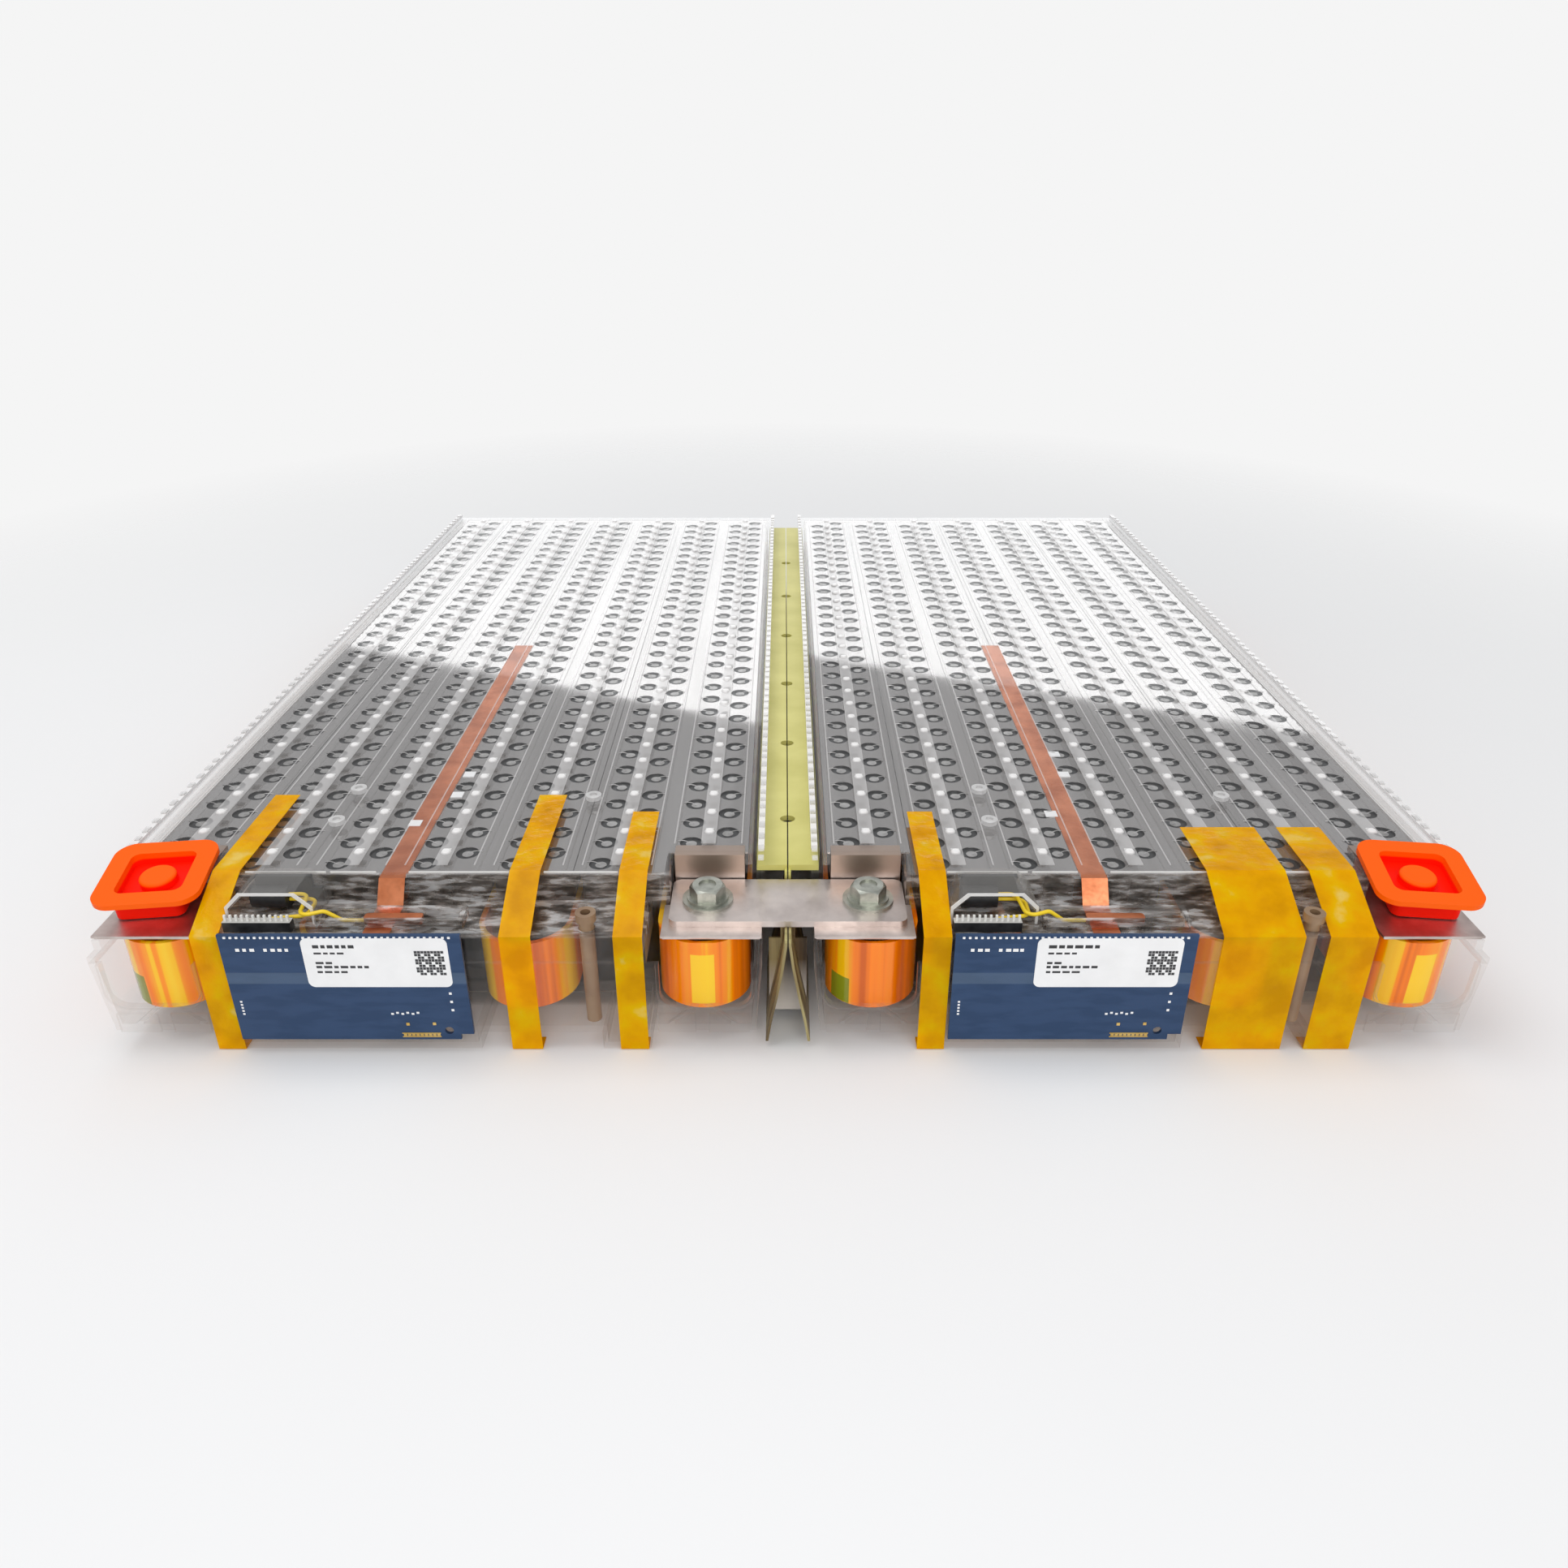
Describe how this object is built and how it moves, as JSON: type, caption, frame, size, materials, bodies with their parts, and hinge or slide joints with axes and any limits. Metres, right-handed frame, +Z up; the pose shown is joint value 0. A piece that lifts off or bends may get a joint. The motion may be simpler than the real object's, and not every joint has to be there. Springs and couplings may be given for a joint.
{
  "type": "ev battery module pair",
  "caption": "Two clear-cased traction battery modules side by side, joined by a bolted plated link, with board, coolant ribbon, tape and soft terminal caps.",
  "frame": {"origin": "middle of the footprint of the pair, on the surface it stands on", "axes": "+X across the pair to the right-hand module, +Y from the terminal end to the far end, +Z up"},
  "size_m": [0.6232, 0.684, 0.0807],
  "materials": {
    "clear_plastic": "clear, glossy, moulded",
    "cell_can": "steel cans, dark wrap",
    "nickel_plate": "thin flat sheet, dull",
    "amber_film": "amber polyimide film",
    "brown_plastic": "moulded",
    "plated_terminal": "plated copper, slightly dull",
    "blue_board": "solder mask, glossy",
    "paper_label": "printed paper, plain",
    "white_plastic": "moulded",
    "black_sleeve": "soft sleeve",
    "yellow_wire": "insulated wire",
    "copper_film": "copper flex",
    "olive_strip": "yellow-olive insulating strip",
    "orange_silicone": "bright orange silicone",
    "plated_link": "plated copper bar, bright edge",
    "zinc_steel": "zinc plated"
  },
  "bodies": {
    "root": {"left_board_label": "paper_label", "left_bottom_cover": "clear_plastic", "left_cells": "cell_can", "left_control_board": "blue_board", "left_coolant_fitting": "brown_plastic", "left_coolant_ribbon": "amber_film", "left_deck_clips": "clear_plastic", "left_flex_connector": "copper_film", "left_front_tapes": "amber_film", "left_lower_cell_holder": "clear_plastic", "left_lower_collectors": "nickel_plate", "left_lower_shell": "clear_plastic", "left_negative_terminal": "plated_terminal", "left_pin_header": "white_plastic", "left_positive_terminal": "plated_terminal", "left_sense_flex": "copper_film", "left_sensor_wires": "yellow_wire", "left_side_strip": "olive_strip", "left_terminal_cap": "orange_silicone", "left_top_cover": "clear_plastic", "left_upper_cell_holder": "clear_plastic", "left_upper_collector_1": "nickel_plate", "left_upper_collector_2": "nickel_plate", "left_upper_collector_3": "nickel_plate", "left_upper_collector_4": "nickel_plate", "left_upper_shell": "clear_plastic", "left_wire_hood": "clear_plastic", "left_wire_sleeve": "black_sleeve", "link_bolts": "zinc_steel", "link_plate": "plated_link", "right_board_label": "paper_label", "right_bottom_cover": "clear_plastic", "right_cells": "cell_can", "right_control_board": "blue_board", "right_coolant_fitting": "brown_plastic", "right_coolant_ribbon": "amber_film", "right_deck_clips": "clear_plastic", "right_flex_connector": "copper_film", "right_front_tapes": "amber_film", "right_lower_cell_holder": "clear_plastic", "right_lower_collectors": "nickel_plate", "right_lower_shell": "clear_plastic", "right_negative_terminal": "plated_terminal", "right_pin_header": "white_plastic", "right_positive_terminal": "plated_terminal", "right_sense_flex": "copper_film", "right_sensor_wires": "yellow_wire", "right_side_strip": "olive_strip", "right_terminal_cap": "orange_silicone", "right_top_cover": "clear_plastic", "right_upper_cell_holder": "clear_plastic", "right_upper_collector_1": "nickel_plate", "right_upper_collector_2": "nickel_plate", "right_upper_collector_3": "nickel_plate", "right_upper_collector_4": "nickel_plate", "right_upper_shell": "clear_plastic", "right_wire_hood": "clear_plastic", "right_wire_sleeve": "black_sleeve", "terminal_nuts": "zinc_steel"}
  },
  "joints": []
}
